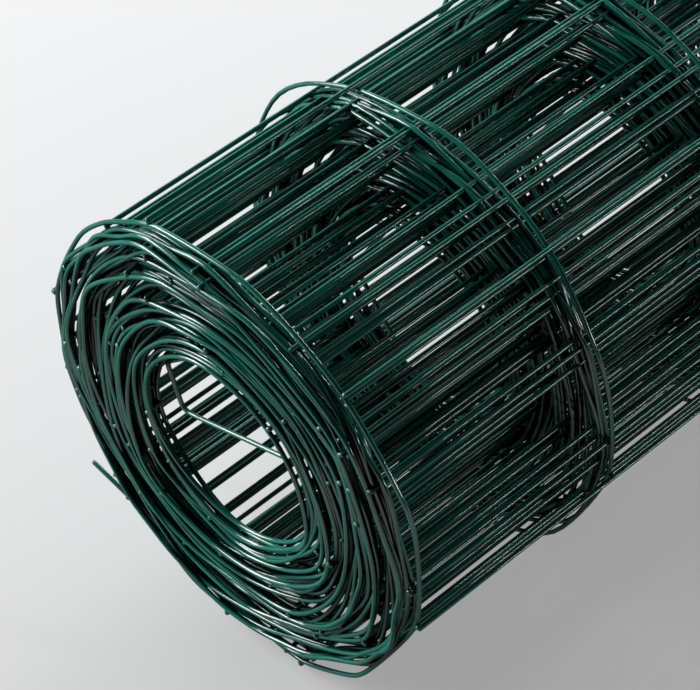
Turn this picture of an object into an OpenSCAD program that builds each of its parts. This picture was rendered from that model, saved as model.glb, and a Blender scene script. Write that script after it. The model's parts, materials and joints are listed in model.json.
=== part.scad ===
// Roll of welded wire fencing, lying on its side.
// Line wires run round the roll, stay wires run along it, and every crossing is welded.
// X is the axis of the roll, Z is up, and the origin is on the floor under the axis, half way along the roll.

/* [Mesh] */
// Number of line wires across the height of the fence
line_wires = 11; // [4:1:21]
// Distance between neighbouring line wires
line_pitch = 100; // [50:5:150]
// Distance between neighbouring stay wires, measured along a line wire
stay_pitch = 100; // [75:5:150]
// Diameter of the plastic-coated wire
wire_d = 1.9; // [1.5:0.1:2.4]
// Length of a stay wire past the outermost line wires, from their middle
stay_overhang = 2; // [1.5:0.5:6]
// Depth to which the weld presses a stay wire into a line wire
weld_depth = 0.4; // [0.2:0.1:0.6]

/* [Roll] */
// Diameter over the line wires of the outermost turn, at their bends
roll_d = 198; // [170:1:240]
// Diameter of the bore, inside the line wires of the innermost turn
bore_d = 78; // [60:1:100]
// Number of turns that show on each end, where as many again lie behind them
turns = 28; // [16:1:28]
// Depth to which the straight runs of the outermost turn press into the turns under it
run_depth = 0.3; // [0.2:0.1:0.5]

/* [Loose end] */
// Length of the line wires past the last stay wire
end_stub_l = 21; // [12:1:24]
// Angle by which those stubs spring out from the run before them
end_stub_angle = 15; // [10:1:25]
// Distance by which the stubs have slid along the roll
end_slide = 0.6; // [0.4:0.1:0.8]

/* [Hidden] */
$fn = 96;
wire_r = wire_d / 2;
fence_h = (line_wires - 1) * line_pitch;
line_places = [for (i = [0 : line_wires - 1]) i * line_pitch];
// A line wire bends at each stay wire and at the crimp midway to the next one, and is straight between
bend_r = roll_d / 2 - wire_r;
stays_per_turn = round(2 * PI * bend_r / stay_pitch);
bends_per_turn = 2 * stays_per_turn;
bend_step = 360 / bends_per_turn;
run_r = bend_r * cos(bend_step / 2);
// The section of a bent line wire has flat sides, and is longer where it is mitred at a bend
bent_wire_sides = 8;
side_angle = 360 / bent_wire_sides;
mitre_r = wire_r / cos(bend_step / 2);
corner_r = bend_r + mitre_r * cos(side_angle / 2);
// The turns under the outermost one
core_r = run_r - wire_r + run_depth;
inner_line_r = bore_d / 2 + wire_r;
turn_pitch = (core_r - wire_r - inner_line_r) / (turns - 2);
turn_radii = [for (i = [0 : turns - 2]) inner_line_r + i * turn_pitch];
// Stay wires lie outside the line wires and are pressed into them by the weld
stay_r = bend_r + wire_d - weld_depth;
stay_l = fence_h + 2 * stay_overhang;
// The roll lies on one stay wire and on the crimps next to it, and rest_angle is from that stay wire to down
rest_x = stay_r - corner_r * cos(bend_step);
rest_y = -corner_r * sin(bend_step);
rest_angle = atan2(rest_y, rest_x) + acos(-wire_r / norm([rest_x, rest_y]));
axis_h = stay_r * cos(rest_angle) + wire_r;
// The last stay wire, at the loose end, is the next one round
end_angle = -90 - rest_angle + 2 * bend_step;

// A point on the surface of a bent line wire, at a bend
function bend_point(bend, side) =
    let (r = bend_r + mitre_r * cos(side))
        [r * cos(bend), r * sin(bend), wire_r * sin(side)];

// Section of a line wire
module wire_section() {
    circle(d = wire_d, $fn = 32);
}

// A straight wire along Z
module straight_wire(length) {
    cylinder(d = wire_d, h = length, $fn = 32);
}

// Half section of the turns under the outermost one, which end in round edges
module core_section() {
    translate([bore_d / 2, 0])
        square([core_r - bore_d / 2, fence_h]);
    for (r = turn_radii, end = [0, fence_h])
        translate([r, end])
            wire_section();
}

// The outermost turn of one line wire, from bend to bend
module line_ring() {
    points = [for (i = [0 : bends_per_turn - 1], k = [0 : bent_wire_sides - 1])
        bend_point(i * bend_step, (k + 0.5) * side_angle)];
    faces = [for (i = [0 : bends_per_turn - 1], k = [0 : bent_wire_sides - 1])
        let (
            here = i * bent_wire_sides,
            next = (i + 1) % bends_per_turn * bent_wire_sides,
            side = (k + 1) % bent_wire_sides
        )
        [here + k, here + side, next + side, next + k]];
    polyhedron(points, faces);
}

// The outermost turn of every line wire
module outer_lines() {
    for (place = line_places)
        translate([0, 0, place])
            rotate(end_angle)
                line_ring();
}

// Stay wires of the outermost turn
module outer_stays() {
    for (i = [0 : stays_per_turn - 1])
        rotate(end_angle + 2 * i * bend_step)
            translate([stay_r, 0, -stay_overhang])
                straight_wire(stay_l);
}

// Cut ends of the line wires, which spring away from the roll past the last stay wire
module end_stubs() {
    run_angle = end_angle - bend_step / 2 + 90;
    for (place = line_places)
        translate([bend_r * cos(end_angle), bend_r * sin(end_angle), place + end_slide])
            rotate(run_angle - end_stub_angle)
                rotate([0, 90, 0])
                    straight_wire(end_stub_l);
}

// The wound mesh, with its axis along Z
module wound_mesh() {
    rotate_extrude()
        core_section();
    outer_lines();
    outer_stays();
    end_stubs();
}

// The roll lying on the floor, with the end that is nearest the eye at -X
module wire_mesh_roll() {
    color("#0d5a4b")
        translate([-fence_h / 2, 0, axis_h])
            rotate([90, 0, 90])
                wound_mesh();
}

wire_mesh_roll();
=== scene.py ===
import json
import math

import bpy
import numpy as np
from mathutils import Matrix, Vector


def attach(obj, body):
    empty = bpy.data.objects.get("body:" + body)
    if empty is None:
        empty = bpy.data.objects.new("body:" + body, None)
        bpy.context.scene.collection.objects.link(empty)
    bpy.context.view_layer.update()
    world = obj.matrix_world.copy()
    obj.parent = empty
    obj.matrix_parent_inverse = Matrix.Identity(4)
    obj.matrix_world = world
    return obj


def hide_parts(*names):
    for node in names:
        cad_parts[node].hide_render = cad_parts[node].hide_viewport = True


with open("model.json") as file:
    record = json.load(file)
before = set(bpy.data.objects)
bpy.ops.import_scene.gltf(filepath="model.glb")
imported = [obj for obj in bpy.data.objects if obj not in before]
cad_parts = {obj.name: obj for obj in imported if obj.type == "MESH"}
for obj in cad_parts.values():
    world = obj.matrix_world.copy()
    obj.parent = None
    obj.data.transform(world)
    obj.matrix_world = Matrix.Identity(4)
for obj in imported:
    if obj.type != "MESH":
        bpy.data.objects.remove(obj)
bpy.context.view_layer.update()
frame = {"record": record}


# Line wires: eleven parallel wires, welded across the stay wires and wound up with them round the bore.
# Each is steel wire under a smooth glossy coat of dark green plastic, crimped midway between stay wires.
# Wound up, it bends at welds and crimps and stays straighter between, and its cut ends spring free.
bore = next(m for m in frame["record"]["mounts"] if m["name"] == "core_bore")
axis_z = bore["pos_m"][2]
axis_point = np.array([0, 0, axis_z])
bore_r = bore["dims"]["r_mm"] / 1000
fence_h = bore["dims"]["length_mm"] / 1000
wire_r = 0.00095
line_count = 11
# Places of the line wires on a stay wire, from -1 at the near end to 1 at the far one.
line_across = [2 * line / (line_count - 1) - 1 for line in range(line_count)]
half_cell = 0.050
weld_sink = 0.0004
turns = 60.3
end_angle = math.radians(-46.7)
inner_bend_gap = 0.0024
under_last_r = 0.0915
# Radii of the bends of the last turn, from the last weld backwards.
last_turn_r = np.array([97.6, 90.6, 97.8, 98.0, 97.0, 97.6, 98.0, 98.0, 97.4, 95.8, 96.2, 97.4]) / 1000
chance = np.random.default_rng(seed=20)


def winding():
    """Angles and radii of the bends of the wound mesh, from the innermost weld to the last one."""
    # A run lies a little inside the bends at its ends.
    run_r_share = 0.977
    turn_pitch = (under_last_r - (bore_r + inner_bend_gap)) / (turns - 1)
    angles = [end_angle]
    radii = [last_turn_r[0]]
    while len(angles) % 2 == 0 or (end_angle - angles[-1]) / math.tau < turns:
        angles.append(angles[-1] - half_cell / (run_r_share * radii[-1]))
        turns_below = (end_angle - angles[-1]) / math.tau - 1
        in_last_turn = len(radii) < len(last_turn_r)
        radii.append(last_turn_r[len(radii)] if in_last_turn else under_last_r - turn_pitch * turns_below)
    return np.array(angles[::-1]), np.array(radii[::-1])


bend_angle, bend_r = winding()
bend_count = len(bend_angle)
bend_no = np.arange(bend_count)
is_weld = (bend_count - 1 - bend_no) % 2 == 0
# One crimp of the last turn, low on the right, is off the middle of its run.
low_crimp_shift = math.radians(7)
bend_angle[-4] += low_crimp_shift
# The last weld is a little short of a full run from the crimp before it.
last_weld_short = math.radians(2.5)
bend_angle[-1] -= last_weld_short
turns_in = (end_angle - bend_angle) / math.tau


def by_turns(turns_from_end, shares):
    """Share of an effect at each bend, by how many turns it is from the end of the winding."""
    return np.interp(turns_in, turns_from_end, shares)


def lobe(middle, half_width):
    """1 at bends in one direction from the axis, falling smoothly to 0 at half_width degrees from it."""
    away = np.abs((bend_angle - math.radians(middle) + math.pi) % math.tau - math.pi)
    reach = math.radians(half_width)
    return np.where(away < reach, 0.5 + 0.5 * np.cos(math.pi * away / reach), 0)


def drift(wave):
    """Smooth chance variation along the bends, mostly between -1 and 1, in waves of about wave bends."""
    wave_count = 4
    shortest = 0.6
    longest = 1.6
    total = np.zeros(bend_count)
    for _ in range(wave_count):
        phase = chance.uniform(0, math.tau)
        length = wave * chance.uniform(shortest, longest)
        total += np.sin(math.tau * bend_no / length + phase)
    return total / math.sqrt(wave_count)


# On its lower right the bundle is slack, and the outermost turns hang away from it.
low_slack = 0.0026
slack = low_slack * lobe(middle=-140, half_width=90) * by_turns([1.4, 2.2, 8, turns], [0, 1, 0.7, 0.2])
# Under the loose end it is pressed flat.
end_slack = 0.0050
slack += end_slack * lobe(middle=-68, half_width=50) * by_turns([1, 1.2, 12, 40], [0, 1, 0.8, 0])
# On top the last turn stands off from it.
top_slack = 0.0058
on_top = lobe(middle=115, half_width=70)
slack += top_slack * on_top * by_turns([0.9, 1.1, 20], [0, 1, 0.1])
# The bends are scattered in and out, but hardly in the last turn.
bend_scatter = np.where(turns_in > 1, 0.0004, 0.0001)
bend_r = bend_r - slack + bend_scatter * chance.standard_normal(bend_count)

# A run is between a chord, at 0, and an arc, at 1: rounder in the inner turns, and straight at the end.
bow_radii = [bore_r, 0.090, 0.096]
bow_shares = [0.95, 0.75, 0.42]
bow_scatter = 0.12
last_bows = [0.3, 0]
run_bow = np.interp(bend_r, bow_radii, bow_shares) + bow_scatter * chance.standard_normal(bend_count)
run_bow[-3:-1] = last_bows

# The turns have slid along each other, but the last one lies almost true.
long_slide = 0.0030
short_slide = 0.0012
slide = long_slide * drift(wave=11) + short_slide * drift(wave=5)
slide *= by_turns([0.9, 1.4, 4], [0.1, 0.3, 1])
# On top the turns under it have slid towards the near end.
top_slide = 0.0020
slide -= top_slide * on_top * by_turns([0.9, 1.2, 8], [0, 1, 0])
# A skewed or bowed stay wire takes every line wire with it.
skew_size = 0.0012
skew = skew_size * drift(wave=21)
sag_size = 0.0006
sag = sag_size * drift(wave=15)


def run_places(steps):
    """Places along the winding, counted in bends, with so many steps in each run."""
    return np.linspace(0, bend_count - 1, (bend_count - 1) * steps + 1)


def run_radius(place):
    """Radius along the winding before it is seated: each run is between a chord and an arc."""
    bend = np.minimum(place.astype(int), bend_count - 2)
    along = place - bend
    start_r = bend_r[bend]
    stop_r = bend_r[bend + 1]
    step = bend_angle[bend + 1] - bend_angle[bend]
    arc = start_r + (stop_r - start_r) * along
    chord_part = start_r * np.sin(step * along) + stop_r * np.sin(step * (1 - along))
    chord = start_r * stop_r * np.sin(step) / chord_part
    return chord + (arc - chord) * run_bow[bend]


def seat_turns():
    """Radius along the winding once each turn lies beside the turn under it and over its stay wires."""
    # A wire sinks a little beside the one under it, and slopes up to a stay wire and down again.
    nest = -0.6 * wire_r
    over_stay = 4 * wire_r - weld_sink
    stay_slope = 0.25
    # Welds count up to this angle past the turn, and a lift fades out over this many steps.
    weld_margin = 0.5
    spread = 3
    place = run_places(steps=10)
    angle = np.interp(place, bend_no, bend_angle)
    radius = run_radius(place)
    for turn in range(1, int(turns) + 2):
        first = angle[0] + turn * math.tau
        here = (angle >= first) & (angle < first + math.tau)
        lowest = np.interp(angle - math.tau, angle, radius) + nest
        for weld in bend_no[is_weld]:
            over = bend_angle[weld] + math.tau
            if first - weld_margin < over < first + math.tau + weld_margin:
                away = np.abs(angle - over) * radius
                over_r = np.interp(weld, place, radius) + over_stay
                lowest = np.maximum(lowest, over_r - stay_slope * away)
        need = np.where(here, np.maximum(lowest - radius, 0), 0)
        lift = need.copy()
        for shift in range(1, spread + 1):
            fade = 1 - shift / (spread + 1)
            lift[shift:] = np.maximum(lift[shift:], need[:-shift] * fade)
            lift[:-shift] = np.maximum(lift[:-shift], need[shift:] * fade)
        radius = radius + lift
    return place, radius


seat_place, seat_r = seat_turns()


def round_axis(x, radius, angle):
    """Points at a place along the roll's axis, a distance from it and an angle round it."""
    return np.stack(np.broadcast_arrays(x, radius * np.cos(angle), axis_z + radius * np.sin(angle)), -1)


def on_floor(points):
    """The same points, with none lower than the middle of a wire that lies on the floor."""
    return np.maximum(points, [-np.inf, -np.inf, wire_r])


def line_points(steps, across, own_slide, own_lift):
    """Points along one line wire, across being its place on the stay wires."""
    place = run_places(steps)
    # The lift of a crimp has a round top, as half a sine wave from weld to weld.
    to_crimp = np.interp(place, bend_no, np.where(is_weld, 0, 1))
    lift = np.interp(place, bend_no, own_lift) * np.sinc(to_crimp / 2) * math.pi / 2
    radius = np.interp(place, seat_place, seat_r) + lift
    angle = np.interp(place, bend_no, bend_angle)
    angle = angle + np.interp(place, bend_no, skew * across + sag * across**2) / radius
    x = across * fence_h / 2 + np.interp(place, bend_no, slide + own_slide)
    return round_axis(x, radius, angle)


def along_corners(corners, steps):
    """Points along straight runs between corners, without the last corner."""
    place = np.arange((len(corners) - 1) * steps) / steps
    return np.stack([np.interp(place, np.arange(len(corners)), corners[:, k]) for k in range(3)], -1)


def round_corners(points, passes):
    """Rounds the corners of a path, and keeps its ends."""
    for _ in range(passes):
        points[1:-1] = 0.25 * points[:-2] + 0.5 * points[1:-1] + 0.25 * points[2:]
    return points


def wire_surface(paths, sides, across):
    """Vertices and faces of round wires with rounded cut ends, along paths of equal length.

    across is a direction that no wire runs in.
    """
    end_steps = np.array([0.35, 0.75, 0.95])
    ends = [paths[:, 0] - paths[:, 1], paths[:, -1] - paths[:, -2]]
    ends = [end / np.linalg.norm(end, axis=1, keepdims=True) * wire_r for end in ends]
    before = paths[:, :1] + end_steps[::-1, None] * ends[0][:, None]
    after = paths[:, -1:] + end_steps[:, None] * ends[1][:, None]
    widths = np.sqrt(1 - end_steps**2)
    widths = wire_r * np.concatenate([widths[::-1], np.ones(paths.shape[1]), widths])
    paths = np.concatenate([before, paths, after], 1)
    count, length, _ = paths.shape
    along = np.gradient(paths, axis=1)
    along /= np.linalg.norm(along, axis=2, keepdims=True)
    out = np.cross(along, across)
    out /= np.linalg.norm(out, axis=2, keepdims=True)
    side = np.cross(along, out)
    turn = (np.arange(sides) * math.tau / sides)[:, None]
    ring = np.cos(turn) * out[:, :, None] + np.sin(turn) * side[:, :, None]
    verts = (paths[:, :, None] + widths[:, None, None] * ring).reshape(-1, 3)
    wire, step, k = np.meshgrid(np.arange(count), np.arange(length - 1), np.arange(sides), indexing="ij")
    here = (wire * length + step) * sides
    ahead = here + sides
    k_next = (k + 1) % sides
    quads = np.stack([here + k, here + k_next, ahead + k_next, ahead + k], -1).reshape(-1, 4)
    start = np.arange(count)[:, None] * length * sides
    stop = start + (length - 1) * sides
    caps = np.concatenate([start + np.arange(sides)[::-1], stop + np.arange(sides)])
    return verts, [quads, caps]


def add_piece(name, verts, face_sets):
    """One piece of the roll, as a smooth mesh in the green coat."""
    mesh = bpy.data.meshes.new(name)
    corners = np.concatenate([faces.ravel() for faces in face_sets])
    sizes = np.concatenate([np.full(len(faces), faces.shape[1]) for faces in face_sets])
    mesh.vertices.add(len(verts))
    mesh.vertices.foreach_set("co", verts.astype(np.float32).ravel())
    mesh.loops.add(len(corners))
    mesh.loops.foreach_set("vertex_index", corners.astype(np.int32))
    mesh.polygons.add(len(sizes))
    mesh.polygons.foreach_set("loop_start", (np.cumsum(sizes) - sizes).astype(np.int32))
    mesh.polygons.foreach_set("use_smooth", np.ones(len(sizes), bool))
    mesh.update(calc_edges=True)
    mesh.validate()
    mesh.materials.append(green_coat)
    piece = bpy.data.objects.new(name, mesh)
    bpy.context.scene.collection.objects.link(piece)
    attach(piece, "root")
    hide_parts("wire_mesh_roll")


def make_green_coat():
    """Glossy dark green plastic, with the mottle of its pigment, painted shade in its nooks and a faintly
    wavy skin.
    """
    dark_pigment = (0.006, 0.118, 0.088, 1)
    light_pigment = (0.014, 0.196, 0.149, 1)
    material = bpy.data.materials.new("green_coat")
    material.use_nodes = True
    nodes = material.node_tree.nodes
    links = material.node_tree.links
    shader = nodes["Principled BSDF"]
    place = nodes.new("ShaderNodeTexCoord")

    def noise(scale, detail):
        """Noise fixed to the wires."""
        node = nodes.new("ShaderNodeTexNoise")
        node.inputs["Scale"].default_value = scale
        node.inputs["Detail"].default_value = detail
        links.new(place.outputs["Object"], node.inputs["Vector"])
        return node.outputs["Fac"]

    def ease(value, start, stop, at_start, at_stop):
        """A value from at_start to at_stop, as another goes from start to stop."""
        node = nodes.new("ShaderNodeMapRange")
        node.inputs["From Min"].default_value = start
        node.inputs["From Max"].default_value = stop
        node.inputs["To Min"].default_value = at_start
        node.inputs["To Max"].default_value = at_stop
        links.new(value, node.inputs["Value"])
        return node.outputs["Result"]

    tint = nodes.new("ShaderNodeValToRGB")
    tint.color_ramp.elements[0].position = 0.32
    tint.color_ramp.elements[0].color = dark_pigment
    tint.color_ramp.elements[1].position = 0.70
    tint.color_ramp.elements[1].color = light_pigment
    links.new(noise(scale=45, detail=4), tint.inputs["Fac"])
    # Painted shade: deep between the turns, where little light comes in, its colour is darkened as if in
    # shadow.
    nook = nodes.new("ShaderNodeAmbientOcclusion")
    nook.samples = 6
    nook.inputs["Distance"].default_value = 0.022
    painted_shade_scale = ease(nook.outputs["AO"], start=0.30, stop=0.82, at_start=0.02, at_stop=1)
    shade_painted_colour = nodes.new("ShaderNodeVectorMath")
    shade_painted_colour.operation = "SCALE"
    links.new(tint.outputs["Color"], shade_painted_colour.inputs["Vector"])
    links.new(painted_shade_scale, shade_painted_colour.inputs["Scale"])
    links.new(shade_painted_colour.outputs["Vector"], shader.inputs["Base Color"])
    shader.inputs["Specular IOR Level"].default_value = 0
    # Its gloss fades towards the edges of a wire, and is lost in the deepest nooks.
    facing = nodes.new("ShaderNodeLayerWeight")
    facing.inputs["Blend"].default_value = 0.5
    shine = ease(facing.outputs["Facing"], start=0.25, stop=0.50, at_start=1, at_stop=0.22)
    polish = ease(nook.outputs["AO"], start=0.25, stop=0.55, at_start=0, at_stop=1)
    gloss = nodes.new("ShaderNodeMath")
    gloss.operation = "MULTIPLY"
    links.new(shine, gloss.inputs[0])
    links.new(polish, gloss.inputs[1])
    links.new(gloss.outputs["Value"], shader.inputs["Coat Weight"])
    shader.inputs["Coat Roughness"].default_value = 0.05
    shader.inputs["Coat IOR"].default_value = 1.8
    bump = nodes.new("ShaderNodeBump")
    bump.inputs["Strength"].default_value = 0.02
    bump.inputs["Distance"].default_value = 0.0002
    links.new(noise(scale=700, detail=2), bump.inputs["Height"])
    links.new(bump.outputs["Normal"], shader.inputs["Normal"])
    return material


green_coat = make_green_coat()
roll_way = np.array([1.0, 0, 0])
# A crimp, which no weld holds, slips along the roll and rises from it or sinks.
crimp_slip = 0.0009
crimp_rise = 0.0004
# Past the near end, crimps of the outermost turns bulge as well, high on the left and low on the right.
bulge_rise = 0.0050
bulge_shares = (0.5, 1.0)
bulge = bulge_rise * (lobe(middle=40, half_width=60) + lobe(middle=-140, half_width=70))
bulge *= by_turns([2, 4], [1, 0])
# The inner ends lie along the wall of the bore, and spring in from it at the cut end and at the crimp.
# Both are given by their runs from the first weld.
wall_gap = 0.0012
wall_r = bore_r + wall_gap
inner_end_runs = np.array([1.9, 1])
inner_end_spring = np.array([0.004, 0.0005])
spring_shares = (0.3, 1.0)
inner_end_steps = 14
# The near one has sprung across the bore: its cut end, its crimp and its root on the wall, from the axis.
sprung_end = [0.0010, -0.0265, 0.0152]
sprung_crimp = [0.0015, 0.0282, -0.0013]
root_angle = math.radians(30)
sprung_root = [0.0010, wall_r * math.cos(root_angle), wall_r * math.sin(root_angle)]
# Past the last weld the loose end springs away from the roll.
stub_l = 0.021
stub_places = np.linspace(0.1, 1, 8) * stub_l
stub_rise = math.radians(32)
stub_scatter = 0.1
for line, across in enumerate(line_across):
    near = line == 0
    # The near line wire is seen from closest by, and is made finer.
    steps, sides, rounding = (12, 12, 3) if near else (7, 6, 2)
    own_slide = np.where(is_weld, 0, crimp_slip * chance.standard_normal(bend_count))
    own_lift = np.where(is_weld, 0, crimp_rise * chance.standard_normal(bend_count))
    if not near:
        own_lift += np.where(is_weld, 0, bulge * chance.uniform(*bulge_shares, bend_count))
    points = line_points(steps, across, own_slide, own_lift)
    first_weld = points[0]
    if near:
        corners = np.array([sprung_end, sprung_crimp, sprung_root]) + first_weld[0] * roll_way + axis_point
    else:
        back = bend_angle[0] - inner_end_runs * half_cell / wall_r
        inner_end_r = wall_r - inner_end_spring * chance.uniform(*spring_shares)
        corners = round_axis(first_weld[0], inner_end_r, back)
    inner_end = along_corners(np.concatenate([corners, first_weld[None]]), inner_end_steps)
    stub_angle = end_angle + math.pi / 2 - stub_rise * chance.uniform(1 - stub_scatter, 1 + stub_scatter)
    stub_way = np.array([0, math.cos(stub_angle), math.sin(stub_angle)])
    stub = points[-1] + np.outer(stub_places, stub_way)
    points = on_floor(round_corners(np.concatenate([inner_end, points, stub]), rounding))
    add_piece(f"line_wire_{line + 1:02d}", *wire_surface(points[None], sides, roll_way))


# Stay wires: the straight wires along the roll, one at every weld, on the outside of the line wires.
# They are the same coated steel wire, and are cut off flush with the first and the last line wire.
stay_past = 0.0001
stay_sections = 25
stay_sides = 8
up_way = np.array([0, 0, 1.0])
stay_across = np.linspace(-1, 1, stay_sections) * (1 + 2 * stay_past / fence_h)
stay_paths = []
for weld in bend_no[is_weld]:
    radius = np.interp(weld, seat_place, seat_r) + 2 * wire_r - weld_sink
    angle = bend_angle[weld] + (skew[weld] * stay_across + sag[weld] * stay_across**2) / radius
    x = stay_across * fence_h / 2 + slide[weld]
    stay_paths.append(on_floor(round_axis(x, radius, angle)))
add_piece("stay_wires", *wire_surface(np.array(stay_paths), stay_sides, up_way))


# Welds: where a stay wire was fused into a line wire, the coat has flowed into a small lump round both.
# There is one at every crossing, in the same green plastic, and they differ a little in size.
lump_sides = 6
lump_rows = 4
lump_half = np.array([0.00135, 0.00125, 0.00140])
lump_scatter = 0.1


def lump_surface():
    """Vertices, sides and ends of a round lump of radius 1."""
    turn = np.arange(lump_sides) * math.tau / lump_sides
    tilt = ((np.arange(lump_rows) + 0.5) * math.pi / lump_rows)[:, None]
    level = np.cos(tilt) * np.ones(lump_sides)
    verts = np.stack([np.sin(tilt) * np.cos(turn), np.sin(tilt) * np.sin(turn), level], -1).reshape(-1, 3)
    row, k = np.meshgrid(np.arange(lump_rows - 1), np.arange(lump_sides), indexing="ij")
    here = row * lump_sides
    below = here + lump_sides
    k_next = (k + 1) % lump_sides
    quads = np.stack([here + k, below + k, below + k_next, here + k_next], -1).reshape(-1, 4)
    last = (lump_rows - 1) * lump_sides
    caps = np.stack([np.arange(lump_sides), last + np.arange(lump_sides)[::-1]])
    return verts, quads, caps


crossings = []
for across in line_across:
    for path in stay_paths:
        crossings.append([np.interp(across, stay_across, path[:, k]) for k in range(3)])
crossings = np.array(crossings)
outward = crossings * [0, 1, 1] - axis_point
outward /= np.linalg.norm(outward, axis=1, keepdims=True)
along_roll = np.broadcast_to(roll_way, outward.shape)
lump_axes = np.stack([along_roll, np.cross(along_roll, outward), outward], 1)
lump_sizes = lump_half * chance.uniform(1 - lump_scatter, 1 + lump_scatter, (len(crossings), 1))
lump_middles = crossings - outward * (wire_r - weld_sink / 2)
lump, lump_quads, lump_caps = lump_surface()
weld_verts = (lump_middles[:, None] + (lump * lump_sizes[:, None]) @ lump_axes).reshape(-1, 3)
first_vert = (np.arange(len(crossings)) * len(lump))[:, None, None]
weld_quads = (first_vert + lump_quads).reshape(-1, 4)
weld_caps = (first_vert + lump_caps).reshape(-1, lump_sides)
add_piece("welds", weld_verts, [weld_quads, weld_caps])


# Floor: a plain pale sheet that the roll lies on, and no part of it.
# Its paint is matt, and shows paler to the eye and in the wires' gloss than the light that it throws back.
floor_half = 6.0
floor_corners = [(x * floor_half, y * floor_half, 0) for x, y in ((-1, -1), (1, -1), (1, 1), (-1, 1))]


def make_floor_paint():
    """Matt pale paint, which glows faintly where it is seen and throws little light back."""
    thrown_back = (0.16, 0.16, 0.16, 1)
    shown = (0.39, 0.40, 0.41, 1)
    material = bpy.data.materials.new("floor_paint")
    material.use_nodes = True
    nodes = material.node_tree.nodes
    links = material.node_tree.links
    shader = nodes["Principled BSDF"]
    shader.inputs["Roughness"].default_value = 0.7
    shader.inputs["Emission Strength"].default_value = 0.33
    ray = nodes.new("ShaderNodeLightPath")
    seen = ray.outputs["Is Camera Ray"]
    for other in ("Is Glossy Ray", "Is Transmission Ray"):
        either = nodes.new("ShaderNodeMath")
        either.operation = "MAXIMUM"
        links.new(seen, either.inputs[0])
        links.new(ray.outputs[other], either.inputs[1])
        seen = either.outputs["Value"]
    links.new(seen, shader.inputs["Emission Color"])
    tint = nodes.new("ShaderNodeValToRGB")
    tint.color_ramp.elements[0].color = thrown_back
    tint.color_ramp.elements[1].color = shown
    links.new(seen, tint.inputs["Fac"])
    links.new(tint.outputs["Color"], shader.inputs["Base Color"])
    return material


floor_mesh = bpy.data.meshes.new("floor")
floor_mesh.from_pydata(floor_corners, [], [(0, 1, 2, 3)])
floor_mesh.materials.append(make_floor_paint())
floor = bpy.data.objects.new("floor", floor_mesh)
bpy.context.scene.collection.objects.link(floor)


# Light: two soft lamps stand on the left, the stronger one towards the near end.
# A thin one is high behind, a fourth is low and far off on the right, and the room itself is dim.
def add_lamp(name, at, aim, size, power):
    """A flat soft lamp, facing the point that it is aimed at."""
    data = bpy.data.lights.new(name, "AREA")
    data.shape = "RECTANGLE"
    data.size, data.size_y = size
    data.energy = power
    lamp = bpy.data.objects.new(name, data)
    lamp.location = at
    lamp.rotation_mode = "QUATERNION"
    lamp.rotation_quaternion = (Vector(aim) - Vector(at)).to_track_quat("-Z", "Y")
    bpy.context.scene.collection.objects.link(lamp)


add_lamp("key_lamp", at=(-1.30, 1.70, 0.78), aim=(-0.5, 0.0, 0.1), size=(1.6, 1.0), power=63)
add_lamp("left_lamp", at=(0.30, 1.30, 0.60), aim=(-0.20, 0.0, 0.05), size=(1.4, 0.8), power=15)
add_lamp("back_lamp", at=(1.50, 0.50, 0.85), aim=(-0.35, 0.0, 0.1), size=(1.5, 0.12), power=28)
add_lamp("side_lamp", at=(1.80, -3.06, 0.45), aim=(-0.1, 0.0, 0.1), size=(1.3, 0.30), power=22)
room = bpy.data.worlds.new("room")
room.use_nodes = True
room_light = room.node_tree.nodes["Background"]
room_light.inputs["Color"].default_value = (0.95, 0.98, 1.0, 1)
room_light.inputs["Strength"].default_value = 0.008
bpy.context.scene.world = room
bpy.context.scene.view_settings.view_transform = "Standard"


# Camera: the eye looks down on the near end from its right, with the roll running away to the upper right.
# Its place and directions are fitted to the rims of the first two rings and to the run of the stay wires.
eye_from_axis = Vector((-0.96581, -0.58575, 0.79104))
eye_back = Vector((-0.47522, -0.52812, 0.70375))
eye_up = Vector((0.50821, 0.48816, 0.70952))
focal_pixels = 3002.9
picture_w = 700
camera_data = bpy.data.cameras.new("camera")
camera_data.sensor_width = 36
camera_data.lens = focal_pixels * camera_data.sensor_width / picture_w
camera_data.clip_start = 0.01
camera = bpy.data.objects.new("camera", camera_data)
camera.rotation_mode = "QUATERNION"
camera.rotation_quaternion = Matrix((eye_up.cross(eye_back), eye_up, eye_back)).transposed().to_quaternion()
camera.location = eye_from_axis + Vector(axis_point)
bpy.context.scene.collection.objects.link(camera)
bpy.context.scene.camera = camera
